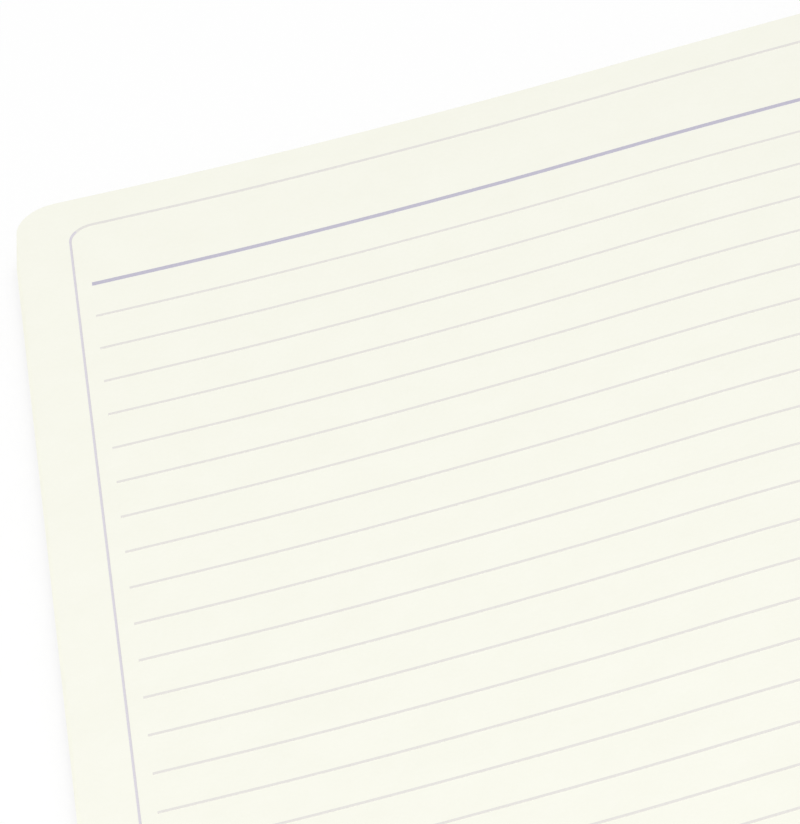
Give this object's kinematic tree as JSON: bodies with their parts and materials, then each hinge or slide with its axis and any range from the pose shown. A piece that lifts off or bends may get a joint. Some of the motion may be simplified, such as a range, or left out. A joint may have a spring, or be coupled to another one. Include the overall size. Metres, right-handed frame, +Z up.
{
  "type": "open composition notebook",
  "caption": "Centre-sewn ruled notebook lying open at its middle spread, with flush-cut board covers, a cloth spine tape and rounded outer corners.",
  "frame": {"origin": "on the table under the middle of the spine, with the notebook lying open", "axes": "+X across the spread from the spine to the right-hand fore-edge, +Y up the pages to their head, +Z up"},
  "size_m": [0.3826, 0.248, 0.0092],
  "materials": {
    "page_paper": "uncoated ivory writing paper",
    "cover_board": "matte pressboard",
    "spine_cloth": "plain woven book cloth",
    "sewing_thread": "waxed cotton thread",
    "rule_ink": "printed line, matte"
  },
  "bodies": {
    "back_half": {"back_cover": "cover_board", "right_pages": "page_paper", "spine_tape": "spine_cloth", "sewing_thread": "sewing_thread"},
    "front_half": {"front_cover": "cover_board", "left_pages": "page_paper"}
  },
  "joints": [
    {"name": "book_fold", "type": "hinge", "parent": "back_half", "child": "front_half", "pos_m": [0, 0, 0.00937], "axis": [0, 1, 0], "range_deg": [0, 179], "deforming": ["spine_tape", "sewing_thread"]}
  ]
}
